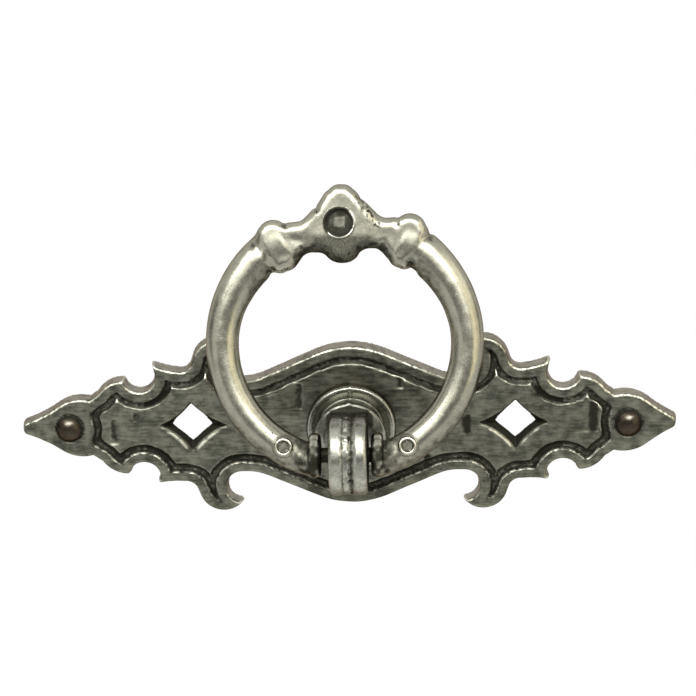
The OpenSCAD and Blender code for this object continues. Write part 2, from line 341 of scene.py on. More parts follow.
def casting(name, field, low, high, step, body, node, material, paint, place=Matrix(),
            both_faces=False):
    """Makes a piece from a field of x, y and z in millimetres. place puts it into the row frame.

    paint gives the black on it, above zero, which is patina and in places painted shade, and the places made
    bright, below zero, which are painted highlights. The front is worn by rubbing, and the back too on a
    piece that is handled on both faces.
    """
    low, high = np.array(low, float), np.array(high, float)
    counts = np.ceil((high - low) / step).astype(int) + 1
    axes = [low[i] + step * np.arange(counts[i]) for i in range(3)]
    grid = np.meshgrid(*axes, indexing="ij")
    vertices, quads = surface_net(field(*grid), low, step)
    for _ in range(SNAPS):
        g = slope(field, vertices)
        move = g * (field(*vertices.T) / np.maximum((g ** 2).sum(1), 0.2))[:, None]
        length = np.linalg.norm(move, axis=1, keepdims=True)
        vertices -= move * np.minimum(1, 0.4 * step / np.maximum(length, 1e-9))

    edge = np.clip(bulge(field, vertices, EDGE_REACH), 0, 1)
    crease = np.clip(-bulge(field, vertices, CREASE_REACH), 0, 1)
    dark = paint(*vertices.T)
    g = slope(field, vertices)
    g /= np.maximum(np.linalg.norm(g, axis=1, keepdims=True), 1e-6)
    rubbed_and_highlit = smooth_step(-0.1, 0.75, np.abs(g[:, 1]) if both_faces else -g[:, 1])
    # How far each point faces up; the materials dim the edge shine on points that face down, a painted shade.
    raised = smooth_step(-0.25, 0.45, g[:, 2])

    mesh = bpy.data.meshes.new(name)
    mesh.vertices.add(len(vertices))
    mesh.vertices.foreach_set("co", (vertices * MM).astype(np.float32).ravel())
    mesh.loops.add(quads.size)
    mesh.loops.foreach_set("vertex_index", quads.astype(np.int32).ravel())
    mesh.polygons.add(len(quads))
    mesh.polygons.foreach_set("loop_start", np.arange(0, quads.size, 4, dtype=np.int32))
    mesh.update(calc_edges=True)
    for label, values in (("edge", edge), ("crease", crease), ("dark", dark), ("rubbed_and_highlit", rubbed_and_highlit),
                          ("raised", raised)):
        layer = mesh.attributes.new(label, "FLOAT", "POINT")
        layer.data.foreach_set("value", values.astype(np.float32))
    mesh.transform(place)
    mesh.shade_smooth()
    mesh.materials.append(material)
    piece = bpy.data.objects.new(name, mesh)
    scene.collection.objects.link(piece)
    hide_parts(node)
    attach(piece, body)


# Materials


class Nodes:
    """Short names for the shader nodes that the materials use."""

    def __init__(self, name):
        self.material = bpy.data.materials.new(name)
        self.material.use_nodes = True
        self.tree = self.material.node_tree
        self.shader = self.tree.nodes["Principled BSDF"]
        self.object = self.tree.nodes.new("ShaderNodeTexCoord").outputs["Object"]

    def add(self, kind, **settings):
        node = self.tree.nodes.new(kind)
        for key, value in settings.items():
            setattr(node, key, value)
        return node

    def put(self, socket, value):
        if isinstance(value, bpy.types.NodeSocket):
            self.tree.links.new(value, socket)
        else:
            socket.default_value = value

    def math(self, operation, a, b=0.0, clamp=False):
        node = self.add("ShaderNodeMath", operation=operation, use_clamp=clamp)
        self.put(node.inputs[0], a)
        self.put(node.inputs[1], b)
        return node.outputs[0]

    def remap(self, value, low, high, to_low=0.0, to_high=1.0):
        node = self.add("ShaderNodeMapRange", interpolation_type="SMOOTHSTEP")
        for socket, v in zip(node.inputs, (value, low, high, to_low, to_high)):
            self.put(socket, v)
        return node.outputs[0]

    def mix(self, factor, a, b):
        node = self.add("ShaderNodeMix", data_type="RGBA")
        self.put(node.inputs[0], factor)
        self.put(node.inputs[6], a)
        self.put(node.inputs[7], b)
        return node.outputs[2]

    def attribute(self, label):
        return self.add("ShaderNodeAttribute", attribute_name=label).outputs["Fac"]

    def noise(self, size_mm, detail, stretch=(1, 1, 1)):
        """Noise whose bumps are about this size, drawn out along an axis by a stretch over 1."""
        node = self.add("ShaderNodeTexNoise")
        place = self.add("ShaderNodeMapping")
        self.put(place.inputs["Vector"], self.object)
        place.inputs["Scale"].default_value = [1 / (s * size_mm * MM) for s in stretch]
        self.put(node.inputs["Vector"], place.outputs[0])
        node.inputs["Scale"].default_value = 1.0
        node.inputs["Detail"].default_value = detail
        node.inputs["Roughness"].default_value = 0.6
        return node.outputs["Fac"]

    def swing(self, value, amount):
        """A noise about zero, as the change that it brings to another value."""
        return self.math("MULTIPLY", self.math("SUBTRACT", value, 0.5), amount)

    def pits(self, spacing_mm, share, radius):
        """Round pits: 1 in a pit and 0 outside, in this share of the cells of this spacing."""
        node = self.add("ShaderNodeTexVoronoi")
        self.put(node.inputs["Vector"], self.object)
        node.inputs["Scale"].default_value = 1 / (spacing_mm * MM)
        chosen = self.add("ShaderNodeSeparateColor")
        self.put(chosen.inputs[0], node.outputs["Color"])
        here = self.math("LESS_THAN", chosen.outputs[0], share)
        return self.math("MULTIPLY", self.remap(node.outputs["Distance"], radius, radius * 0.5), here)

    def bump(self, height, strength, distance_mm):
        node = self.add("ShaderNodeBump")
        node.inputs["Strength"].default_value = strength
        node.inputs["Distance"].default_value = distance_mm * MM
        self.put(node.inputs["Height"], height)
        return node.outputs[0]


OXIDE = (0.030, 0.030, 0.022, 1)


def pewter(name, body, bright, dull, roughness, wear, shine_facing_down, grain=(1, 1, 1), tarnish=(0.04, 0.16),
           relief=0.5, sides=(0.085, 0.07, 0.058, 1)):
    """Antique silver: dull in the low places, bright on the worn edges, black in the creases. Edges facing
    down shine less than those facing up, a painted shade.

    wear and tarnish give how sharp an edge or a crease is where its change of colour starts and where it is
    full. The argument after wear is the share of the edge shine that undersides get, a painted shade, and
    sides the colour of the walls.
    """
    n = Nodes(name)
    cloud = n.noise(2.2, 4.0)
    streaks = n.noise(0.35, 3.0, grain)
    speckle = n.noise(0.22, 2.0)
    uneven = n.math("ADD", n.math("MULTIPLY", cloud, 0.6), n.math("MULTIPLY", streaks, 0.4))

    base = n.mix(n.remap(uneven, 0.35, 0.65), dull, body)
    front = n.math("ADD", n.attribute("rubbed_and_highlit"), n.swing(cloud, 0.5))
    base = n.mix(n.remap(front, 0.1, 0.6), n.mix(n.remap(uneven, 0.2, 0.6), dull, sides), base)
    high = n.math("ADD", n.attribute("edge"), n.swing(uneven, 0.12))
    painted = n.math("ADD", n.attribute("dark"), n.swing(speckle, 0.45))
    painted = n.remap(painted, 0.15, 0.85)
    base = n.mix(painted, base, OXIDE)
    shine = n.math("MULTIPLY", n.remap(high, *wear), n.remap(front, 0.0, 0.4))
    shine = n.math("MULTIPLY", shine, n.remap(n.attribute("dark"), 0.3, 0.8, 1.0, 0.0))
    # Painted shade: edges that face down keep only a share of their shine.
    shine = n.math("MULTIPLY", shine, n.remap(n.attribute("raised"), 0.0, 1.0, shine_facing_down, 1.0))
    # Paint below zero makes a place bright: painted highlights.
    shine = n.math("MAXIMUM", shine, n.remap(n.attribute("dark"), -0.2, -0.8))
    base = n.mix(shine, base, bright)

    low = n.math("ADD", n.attribute("crease"), n.swing(speckle, 0.16))
    low = n.remap(low, *tarnish)
    low = n.math("MAXIMUM", low, n.pits(spacing_mm=1.1, share=0.10, radius=0.16))
    n.put(n.shader.inputs["Base Color"], n.mix(low, base, OXIDE))

    rough = n.math("ADD", roughness, n.swing(uneven, 0.25))
    rough = n.math("SUBTRACT", rough, n.math("MULTIPLY", shine, 0.08))
    rough = n.math("ADD", rough, n.math("MULTIPLY", n.math("MAXIMUM", low, painted), 0.35), clamp=True)
    n.put(n.shader.inputs["Roughness"], rough)
    n.shader.inputs["Metallic"].default_value = 1.0
    n.shader.inputs["Specular Tint"].default_value = (0.42, 0.36, 0.32, 1)

    height = n.math("ADD", n.math("MULTIPLY", streaks, 0.7), n.math("MULTIPLY", cloud, 0.8))
    height = n.math("SUBTRACT", height, n.math("MULTIPLY", low, 0.5))
    n.put(n.shader.inputs["Normal"], n.bump(height, relief, distance_mm=0.06))
    return n.material


# The plate's walls take a light colour, a painted reflection of light on its upper walls, and its edges
# facing down keep a tenth of their shine, a painted shade.
plate_metal = pewter("plate_pewter", body=(0.20, 0.20, 0.155, 1), bright=(0.70, 0.69, 0.56, 1),
                     dull=(0.065, 0.067, 0.050, 1), roughness=0.40, grain=(7, 1, 1), wear=(0.11, 0.30),
                     tarnish=(0.22, 0.60), shine_facing_down=0.1, sides=(0.40, 0.375, 0.32, 1))
post_metal = pewter("post_pewter", body=(0.38, 0.38, 0.32, 1), bright=(0.74, 0.74, 0.66, 1),
                    dull=(0.22, 0.225, 0.185, 1), roughness=0.27, wear=(0.12, 0.32), tarnish=(0.20, 0.50),
                    shine_facing_down=0.3, relief=0.35, sides=(0.20, 0.195, 0.165, 1))
ring_metal = pewter("ring_pewter", body=(0.37, 0.36, 0.285, 1), bright=(0.78, 0.77, 0.64, 1),
                    dull=(0.285, 0.28, 0.22, 1), roughness=0.25, wear=(0.08, 0.24), tarnish=(0.10, 0.34),
                    shine_facing_down=0.3, relief=0.20, sides=(0.13, 0.12, 0.095, 1))
nail_metal = pewter("nail_bronze", body=(0.058, 0.049, 0.035, 1), bright=(0.42, 0.38, 0.32, 1),
                    dull=(0.026, 0.020, 0.014, 1), roughness=0.30, wear=(0.16, 0.4), shine_facing_down=0.3, relief=0.7)


# Backplate

# Chisel marks on the field: where each stops, how far it runs from there, its ends, and its depth
CHISELS = [(8.7, -3.0, 6.3, 8.7, 0.28), (19.9, -3.0, -2.0, 1.8, 0.34), (32.2, -1.6, 4.3, 8.3, 0.26),
           (41.1, -6.0, -1.8, 3.8, 0.30), (-8.2, -3.6, 2.8, 7.5, 0.30), (-40.8, 4.0, -3.2, 1.5, 0.28),
           (-36.8, 2.0, 0.8, 2.6, 0.22), (12.0, 3.5, -8.0, -5.2, 0.20), (-14.0, 3.0, -7.4, -4.6, 0.22)]

PLATE_CORNERS = (-57, -17), (56, 17)
plate_edge = Plan(lambda x, z: outline_distance(PLATE_OUTLINE, x, z), *PLATE_CORNERS, 0.1)


def sunk_distance(x, z):
    """Distance from the edge of the sunk field and groove, below zero inside."""
    across = np.maximum(x - CROSS_RIGHT_X, -x - CROSS_LEFT_X) - GROOVE_W / 2 + 0.25 * np.cos(z * 1.1)
    return smooth_max(plate_edge.at(x, z) + RIM_W, across, 0.8)


def from_diamond(x):
    """Place along X from the middle of the nearer diamond."""
    return np.where(x < 0, x + DIAMOND_LEFT_X, x - DIAMOND_RIGHT_X)


def diamond_edge(x, z):
    """Distance in from the bowed sides of the diamonds, which run further towards the post and below."""
    to_post = np.where(x < 0, 1, -1)
    x = from_diamond(x)
    x = np.where(x * to_post > 0, x * DIAMOND_RX / DIAMOND_IN_RX, x)
    z = np.where(z < 0, z * DIAMOND_RZ / DIAMOND_LOW_RZ, z)
    chord = math.hypot(DIAMOND_RX, DIAMOND_RZ)
    r = chord ** 2 / (8 * DIAMOND_BOW) + DIAMOND_BOW / 2
    out = np.array([DIAMOND_RZ, DIAMOND_RX]) / chord
    centre = np.array([DIAMOND_RX, DIAMOND_RZ]) / 2 + out * (r - DIAMOND_BOW)
    within = np.abs(x) / DIAMOND_RX + np.abs(z) / DIAMOND_RZ < 1
    return np.where(within, np.hypot(np.abs(x) - centre[0], np.abs(z) - centre[1]) - r, -1)


def near_diamond(x, z):
    return (np.abs(from_diamond(x)) < DIAMOND_IN_RX + 0.8) * (np.abs(z) < DIAMOND_LOW_RZ + 0.8)


def diamond_depth(x, z):
    """Depth of the pockets, whose lower walls slope more than the upper ones."""
    flare = DIAMOND_FLARE + 0.45 * smooth_step(0.3, -0.3, z) - 0.6 * smooth_step(-0.3, 0.3, z)
    return np.clip(diamond_edge(x, z) / flare, -1, 1) * (PLATE_T - POCKET_STOP)


def plate_depth(x, z):
    """Depth of the front surface below the top of the rim."""
    waver = noise(x, 0 * x, z, 1.3, 1) * 0.1 + noise(x, 0 * x, z, 0.45, 3) * 0.05
    s = -sunk_distance(x, z) + waver
    depth = smooth_step(-0.1, 0.3, s) * GROOVE_D
    depth -= smooth_step(GROOVE_W - 0.45, GROOVE_W + 0.25, s) * (GROOVE_D - FIELD_D)
    depth -= 0.07 * bell(s, GROOVE_W + 0.4, 0.3) * (1 + noise(x, 0 * x, z, 0.8, 3))
    on_field = smooth_step(GROOVE_W, GROOVE_W + 0.5, s)
    depth += on_field * (0.05 * noise(x, 0 * x, z, 4.0, 2) + 0.03 * noise(x / 5, 0 * x, z, 0.7, 3))
    for stop, run, bottom, top, deep in CHISELS:
        t = (x - stop) / run
        across = smooth_step(0, 0.3, z - bottom) * smooth_step(0, 0.3, top - z)
        depth += on_field * across * deep * np.clip(1 - t, 0, 1) * smooth_step(-0.12, 0.04, t)
    depth += 0.03 * noise(x, 0 * x, z, 3.0, 0)
    for centre in NAIL_PLACES:
        depth += 0.22 * bell(np.hypot(x - centre, z), NAIL_HEAD_D / 2 + 0.08, 0.16)
    return smooth_max(depth, diamond_depth(x, z), 0.6)


plate_plan = Plan(plate_depth, *PLATE_CORNERS, 0.08)
plate_steep = plate_plan.steepness()
diamond_plan = Plan(diamond_edge, *PLATE_CORNERS, 0.08)


def through_hole(x, z):
    """Field of the straight holes in the diamonds, above zero in the hole."""
    reach = np.where(z < 0, THROUGH_LOW_RZ, THROUGH_HIGH_RZ)
    share = 1 - np.abs(from_diamond(x)) / THROUGH_RX - np.abs(z) / reach
    return share * THROUGH_RX * reach / np.hypot(THROUGH_RX, reach)


def plate_field(x, y, z):
    h = -y
    d = plate_edge.at(x, z) + 0.04 * noise(x, y, z, 2.5, 2)
    wall = (d - DRAFT * (1 - h / PLATE_T)) * 0.98
    top = (h - PLATE_T + plate_plan.at(x, z)) / plate_steep.at(x, z)
    f = smooth_max(wall, top, 0.55)
    f = smooth_max(f, -h, 0.1)
    f = np.maximum(f, through_hole(x, z))
    f = np.maximum(f, STEM_D / 2 + SEAT_GAP - np.hypot(x, z))
    for centre in NAIL_PLACES:
        f = np.maximum(f, NAIL_NECK_D / 2 + SEAT_GAP - np.hypot(x - centre, z))
    return f


def chisel_black(x, y, z, speck, fine):
    """Black left where the chisel stopped, with ragged borders."""
    ragged = noise(x, y, z, 0.9, 3)
    black = 0
    for stop, run, bottom, top, _ in CHISELS:
        t = (x - stop) / math.copysign(1, run)
        above = smooth_step(-0.3, 0.7, z - bottom + 0.4 * ragged)
        below = smooth_step(-0.3, 0.7, top - z + 0.4 * speck)
        cut = smooth_step(-0.2, 0.35, t + 0.15 * speck) * smooth_step(1.9, 0.5, t + 0.4 * ragged)
        black = np.maximum(black, (0.70 + 0.2 * speck + 0.15 * fine) * (above * below) * cut)
    return black


def plate_black(x, y, z, speck, fine):
    """Black in the groove, the pockets and the chisel marks and round the nails, darker towards the right,
    and a painted shadow of the ring and knuckle low on the rim.
    """
    s = -sunk_distance(x, z)
    on_field, on_rim = s > GROOVE_W, s < 0
    groove = smooth_step(-0.25, 0.15, s + 0.12 * fine)
    groove = groove * smooth_step(GROOVE_W + 0.3, GROOVE_W - 0.5, s + 0.2 * fine)
    groove = groove * (0.60 + 0.22 * speck + 0.25 * fine)
    border = 0.72 * bell(s, -0.08, 0.26) * (0.9 + 0.3 * speck)
    black = np.maximum(groove, border) * (y < -0.6)
    pocket = smooth_step(-FIELD_Y + 0.1, -FIELD_Y + 0.55, y) * smooth_step(0.0, -0.2, y)
    black = np.maximum(black, 0.9 * pocket * near_diamond(x, z))
    black = np.maximum(black, chisel_black(x, y, z, speck, fine) * on_field * (y < -1))
    for centre in NAIL_PLACES:
        black = np.maximum(black, 0.95 * bell(np.hypot(x - centre, z), NAIL_HEAD_D / 2 - 0.02, 0.15))
    # Painted shadow of the ring and knuckle, low in the middle of the rim.
    under = 0.3 * bell(x, 0, 15) * smooth_step(-7, -12, z) * on_rim
    rim = (0.1 + 0.3 * smooth_step(0.0, 0.7, noise(x, y, z, 1.6, 2))) * on_rim + under
    return np.maximum(black, rim * (y < -0.4)) + 0.36 * smooth_step(5, 30, x) * on_field * (y < -1.2)


def plate_paint(x, y, z):
    """The black, and painted highlights on the lower lips of the diamonds and on the upper edges of the rim.
    """
    speck = noise(x, y, z, 0.5, 0)
    fine = noise(x, y, z, 0.28, 1)
    # Painted highlight on the lower lips of the diamonds.
    lip = bell(diamond_plan.at(x, z), 0.26, 0.24) * near_diamond(x, z)
    lip = lip * smooth_step(-0.4, -1.2, z) * (y < -1.2)
    lip = lip * smooth_step(0.2, 1.2, np.abs(from_diamond(x)))
    # Painted highlight along the upper edges of the rim, only where they face up.
    facing_up = smooth_step(-0.1, 0.4, plate_edge.at(x, z + 0.3) - plate_edge.at(x, z - 0.3))
    rubbed_and_highlit = bell(plate_edge.at(x, z), -0.1, 0.26) * smooth_step(-1.7, -2.1, y)
    rubbed_and_highlit = rubbed_and_highlit * facing_up * (0.75 + 0.4 * fine)
    black = plate_black(x, y, z, speck, fine) * (1 - lip) * (1 - rubbed_and_highlit)
    return black - 1.1 * lip * (0.75 + 0.4 * speck) - 0.8 * rubbed_and_highlit


casting("backplate_cast", plate_field, (-56.6, -3.2, -16.4), (55.2, 0.4, 16.4), 0.25,
        "base", "backplate", plate_metal, plate_paint)


# Post

FOOT_H = 8.5
FOOT_PROFILE = [
    (0, 0), (STEM_D / 2, 0), (STEM_D / 2, FIELD_Y), (LOWER_DISC_D / 2, FIELD_Y),
    (LOWER_DISC_D / 2, FIELD_Y + 1.6), (LOWER_DISC_D / 2 - 0.3, FIELD_Y + 2.0),
    (LOWER_DISC_D / 2 - 0.9, FIELD_Y + 2.0), (UPPER_DISC_D / 2 - 0.6, FIELD_Y + 1.6),
    (UPPER_DISC_D / 2 - 0.9, FIELD_Y + 2.6), (UPPER_DISC_D / 2 - 0.9, 6.4), (UPPER_DISC_D / 2, 7.2),
    (UPPER_DISC_D / 2, 7.7), (UPPER_DISC_D / 2 - 0.3, 8.0), (UPPER_DISC_D / 2 - 1.5, FOOT_H), (0, FOOT_H)]
PAST_AXIS = [(-1, FOOT_H), (-1, 0)]     # closes the outline beyond the foot's axis
KNUCKLE_R = KNUCKLE_D / 2
KNUCKLE_EDGE = 0.8
KNUCKLE_PROFILE = (
    [(-KNUCKLE_W / 2, -1.0)]
    + [(KNUCKLE_EDGE * (1 - math.cos(a)) - KNUCKLE_W / 2, KNUCKLE_R - KNUCKLE_EDGE * (1 - math.sin(a)))
       for a in np.radians(range(0, 91, 15))]
    + [(-1.2, KNUCKLE_R), (-0.85, KNUCKLE_R - 0.22), (-0.5, KNUCKLE_R - 0.05), (0.0, KNUCKLE_R - 0.05),
       (0.4, KNUCKLE_R - 0.35), (0.9, KNUCKLE_R - 0.28), (1.4, KNUCKLE_R)]
    + [(-KNUCKLE_EDGE * (1 - math.cos(a)) + KNUCKLE_W / 2, KNUCKLE_R - KNUCKLE_EDGE * (1 - math.sin(a)))
       for a in np.radians(range(90, -1, -15))]
    + [(KNUCKLE_W / 2, -1.0)])

foot_plan = Plan(lambda r, h: outline_distance(FOOT_PROFILE + PAST_AXIS, r, h), (-0.5, -1.5), (9.5, 10), 0.05)
knuckle_plan = Plan(lambda w, r: outline_distance(KNUCKLE_PROFILE, w, r), (-5, 0), (5, 8), 0.05)


def post_field(x, y, z):
    h = -y
    rough = noise(x, y, z, 0.6, 1)
    seam = bell(x + 0.15 * rough, 0, 0.4)
    foot = foot_plan.at(np.hypot(x, z), h) - 0.12 * seam * (1 + rough) * smooth_step(1, 4, z)
    reach = np.hypot(h - PIVOT_H, z)
    jagged = noise(0.3 * x, y, z, 0.9, 2) + 0.6 * noise(x, y, z, 0.35, 0)
    knuckle = knuckle_plan.at(x + 0.14 * jagged * smooth_step(2.2, 1.2, np.abs(x)), reach)
    knuckle = np.maximum(knuckle + bell(x, 0.1, 0.95) * (0.13 * rough + 0.1), reach - KNUCKLE_R - 0.02)
    web = np.maximum(np.maximum(np.abs(x) - KNUCKLE_W / 2 + 0.4, np.abs(z) - 4.6),
                     np.maximum(7.5 - h, h - PIVOT_H))
    f = smooth_min(foot, smooth_min(knuckle, web, 0.6), 0.7)
    f = f + 0.02 * noise(x, y, z, 1.6, 3)
    f = np.maximum(f, -np.maximum(np.hypot(x, z) - SCREW_D / 2, h - SCREW_DEPTH))
    return np.maximum(f, TRUNNION_D / 2 + RUNNING_GAP - reach)


def post_paint(x, y, z):
    """Patina over the foot, black in the knuckle's pits, painted shade on its sides by the collars, and
    painted shade on its lower part.
    """
    h = -y
    reach = np.hypot(h - PIVOT_H, z)
    on_knuckle = smooth_step(8.6, 9.4, h)
    pits = bell(x, 0.6, 0.45) * 0.6 + bell(x, -0.85, 0.22) * 0.5 + bell(x, 0.1, 1.0) * 0.15
    pits = pits + 0.35 * bell(x, 0.1, 1.0) * smooth_step(0.1, 0.6, noise(x, y, z, 0.6, 3))
    pits = pits * on_knuckle * smooth_step(KNUCKLE_R - 1, KNUCKLE_R - 0.4, reach)
    foot = 0.16 + 0.2 * noise(x, y, z, 1.2, 1) + 0.2 * bell(h, 8.2, 0.3)
    top = 0.9 * smooth_step(7.85, 8.05, h) * smooth_step(9.6, 8.9, h) * smooth_step(1.0, 2.6, z)
    top = top * (0.45 + 0.55 * smooth_step(4.4, 3.4, np.abs(x)))
    foot = np.maximum(foot, top) * smooth_step(9.6, 8.6, h)
    joint = 0.8 * smooth_step(3.4, 4.2, z) * smooth_step(7.9, 8.3, h) * smooth_step(12.4, 11.0, h)
    foot = np.maximum(foot, joint * (0.85 + 0.3 * noise(x, y, z, 0.6, 2)))
    # Painted shade on the knuckle's flat sides, in the gaps by the collars.
    sides = smooth_step(KNUCKLE_W / 2 - 0.15, KNUCKLE_W / 2, np.abs(x)) * on_knuckle
    sides = sides * smooth_step(KNUCKLE_R - 0.3, KNUCKLE_R - 1.0, reach)
    # Painted shade on the lower part of the knuckle.
    low_down = 0.45 * smooth_step(-2.0, -5.5, z) * on_knuckle
    return np.maximum(np.maximum(pits, foot), np.maximum(sides, low_down))


casting("post_cast", post_field, (-8.2, -22.4, -8.2), (8.2, 0.5, 8.2), 0.17,
        "base", "post", post_metal, post_paint)


# Ring

KNOB_AT = math.radians(32.6)
SWELL_AT = (1.3, -1.55)
ARM_HALF_T = 2.4
CREST_LOW = 27      # height above which the crest's creases and its black are put on
SWELL_R = RING_R - BAR_R - 1.0
CREST_RIGHT = [
    (0, 5.5, 1.9), (1.7, 4.75, 2.5), (2.6, 3.8, 0), (5.3, 1.0, -2.5), (7.0, 0.05, -12), (9.4, 0.3, 2.6),
    (13.3, -1.2, 2.6), (13.6, -2.8, 0), (13.0, -5.4, 0), (11.0, -7.4, 1.4), (8.9, -7.95, 2.4), (7.3, -6.8, 0),
    (6.4, -5.6, -2.2), (4.7, -4.9, -2.4), (2.4, -5.8, 3.0), (0, -7.05, 0)]
CREST_LEFT = [
    (0, 5.5, 2.2), (2.1, 4.7, 2.5), (3.2, 3.6, 0), (4.3, 2.0, -0.9), (4.7, 1.75, 0), (5.6, 0.75, 0),
    (6.4, 0.0, -1.5), (7.0, -0.3, -12), (9.8, -0.4, 2.6), (13.3, -1.1, 2.2), (13.9, -3.0, 0), (13.4, -5.4, 0),
    (11.5, -7.7, 1.4), (9.3, -8.25, 2.4), (7.6, -7.35, 0), (6.6, -5.95, -2.2), (4.6, -5.35, -2.4),
    (2.5, -6.15, 3.0), (0, -7.05, 0)]

# Dark spots at the joints of the lobes: x, height from the ring's top centre, and size
SPOTS = [(-12.0, -8.2, 1.0), (10.9, -7.2, 1.2), (13.9, -3.5, 0.8), (-14.5, -4.2, 0.8), (9.0, -1.0, 0.45),
         (-9.4, -1.1, 0.6), (3.3, 1.4, 0.7), (-4.2, 1.0, 0.5), (-6.6, -4.5, 0.7), (6.9, -5.0, 0.7)]

# Creases between the lobes: both ends as x and height from the ring's top centre, depth and half width
CREASES = [
    (-7.6, -3.3, -2.6, -5.2, 0.07, 0.80), (2.6, -5.2, 6.6, -4.4, 0.14, 0.60),
    (6.5, -4.0, 7.7, -6.5, 0.20, 0.50), (-14.6, -4.0, -13.4, -5.0, 0.14, 0.60),
    (-12.3, -7.4, -11.4, -9.1, 0.24, 0.60), (-12.8, -4.6, -12.0, -7.0, 0.10, 0.60),
    (13.9, -2.6, 12.9, -3.4, 0.22, 0.50), (10.2, -7.0, 11.6, -8.5, 0.26, 0.60),
    (12.6, -3.8, 10.6, -6.6, 0.10, 0.60), (-9.5, 0.0, -9.1, -1.2, 0.16, 0.40),
    (-4.5, 2.0, -4.0, 1.2, 0.14, 0.32), (8.9, 0.2, 8.7, -1.2, 0.20, 0.35), (2.8, 3.2, 3.3, 1.9, 0.20, 0.35)]


def crest_outline():
    """Both halves of the crest, which the pattern maker cut a little unlike."""
    right = [(x, z + RING_TOP) for x, z in path(CREST_RIGHT)]
    left = [(-x, z + RING_TOP) for x, z in path(CREST_LEFT)]
    return closed(right + left[::-1])


CREST_CORNERS = (-18, 26), (18, 46)
crest_plan = Plan(lambda x, z: outline_distance(crest_outline(), x, z), *CREST_CORNERS, 0.06)


def segment_distance(x, z, ax, az, bx, bz):
    ex, ez = bx - ax, bz - az
    t = np.clip(((x - ax) * ex + (z - az) * ez) / (ex * ex + ez * ez), 0, 1)
    return np.hypot(x - ax - t * ex, z - az - t * ez)


def creased(x, z):
    """Depth of the creases of the crest."""
    depth = np.zeros(x.shape)
    for ax, az, bx, bz, deep, width in CREASES:
        depth = np.maximum(depth, deep * bell(segment_distance(x, z - RING_TOP, ax, az, bx, bz), 0, width))
    return depth


crease_plan = Plan(creased, *CREST_CORNERS, 0.08)


def rounded_slab(outline, along, half, edge):
    """Slab of a half thickness, from the distance to its outline, with rounded edges."""
    a, b = outline + edge, np.abs(along) - half + edge
    return np.minimum(np.maximum(a, b), 0) + np.hypot(np.maximum(a, 0), np.maximum(b, 0)) - edge


def ring_bar(x, y, z):
    """The bar, which thickens towards the crest, with its collars and trunnions."""
    side, rise = np.abs(x), z - RING_RISE
    around = np.maximum(np.hypot(x, rise), 0.1)
    along = (side * SWELL_AT[0] + rise * SWELL_AT[1]) / around
    swell = along + np.sqrt(along ** 2 + SWELL_R ** 2 - SWELL_AT[0] ** 2 - SWELL_AT[1] ** 2)
    inner = smooth_min(RING_R - BAR_R, swell, 0.4)
    half = (RING_R + BAR_R - inner) / 2
    bar = (np.hypot((around - inner - half) / half, y / BAR_R) - 1) * BAR_R
    bar = smooth_max(bar, rise * math.sin(KNOB_AT) - side * math.cos(KNOB_AT) - 0.6, 0.5)
    bar = np.maximum(bar, np.where(rise < 0, END_X - side, -9))
    collar = rounded_slab(np.hypot(y, z) - COLLAR_D / 2, side - END_X, COLLAR_W / 2, 0.7)
    f = smooth_min(bar, collar, 0.4)
    trunnion = np.maximum(TRUNNION_APART / 2 - side, side - END_X)
    return np.minimum(f, np.maximum(np.hypot(y, z) - TRUNNION_D / 2, trunnion))


def crest_slab(x, y, z):
    """The crest, thickest in the middle and at the knobs."""
    side = np.abs(x)
    middle = smooth_step(6.4, 3.0, side)
    knobs = smooth_step(7.6, 9.8, side)
    half = ARM_HALF_T + (CREST_T / 2 - ARM_HALF_T) * middle + (KNOB_T / 2 - ARM_HALF_T) * knobs
    return rounded_slab(crest_plan.at(x, z), y, half, CREST_EDGE)


def ring_field(x, y, z):
    """The ring upright about its pivot."""
    f = smooth_min(ring_bar(x, y, z), crest_slab(x, y, z), 0.6)
    f = f + crease_plan.at(x, z) * (z > CREST_LOW)

    across = np.hypot(np.abs(x) - CUP_X, z - CUP_Z)
    lift = -y - BAR_R
    boss = np.maximum(smooth_max(across - CUP_R, lift - CUP_RISE, 0.25), y)
    f = smooth_min(f, boss, 0.25)
    dimple = np.maximum(across - DIMPLE_R, DIMPLE_RISE - lift + 0.04 * noise(x, y, z, 0.6, 2))
    f = smooth_max(f, -dimple, 0.14)

    from_middle = np.hypot(x - RECESS_AT[0], z - RING_TOP - RECESS_AT[1])
    floor = -CREST_T / 2 + RECESS_DEPTH + 0.04 * noise(x, 0 * y, z, 0.6, 2)
    f = smooth_max(f, -np.maximum(from_middle - RECESS_D / 2, y - floor), 0.12)
    lip = np.hypot(from_middle - RECESS_D / 2 - 0.12, y + CREST_T / 2 - 0.08) - LIP_R
    f = smooth_min(f, lip, 0.1)
    return f + 0.03 * noise(x, y, z, 2.6, 0) + 0.008 * noise(x, y, z, 0.8, 1)


def recess_black(x, z, speck):
    """Black in the recess, thinner on its square middle, and painted shade on the upper left of its lip."""
    right, above = x - RECESS_AT[0], z - RING_TOP - RECESS_AT[1]
    from_middle = np.hypot(right, above)
    square = np.maximum(np.abs(right), np.abs(above - 0.2))
    black = 0.50 + 0.28 * smooth_step(0.7, 1.0, square) + 0.25 * smooth_step(1.7, 2.1, from_middle)
    black = (black + 0.1 * speck) * smooth_step(RECESS_D / 2 + 0.05, RECESS_D / 2 - 0.15, from_middle)
    # Painted shade on the upper left of the lip.
    shadow = bell(from_middle, RECESS_D / 2 + 0.15, 0.3) * smooth_step(0.8, -0.8, right - above)
    return np.maximum(black, 0.95 * shadow)


def cup_black(x, z):
    """Black in the cups' dimples and round their feet."""
    across = np.hypot(np.abs(x) - CUP_X, z - CUP_Z)
    dimple = 0.55 * smooth_step(1.05, 0.9, across) + 0.3 * bell(across, 0.95, 0.16)
    return np.maximum(dimple, 0.6 * bell(across, 1.75, 0.25))


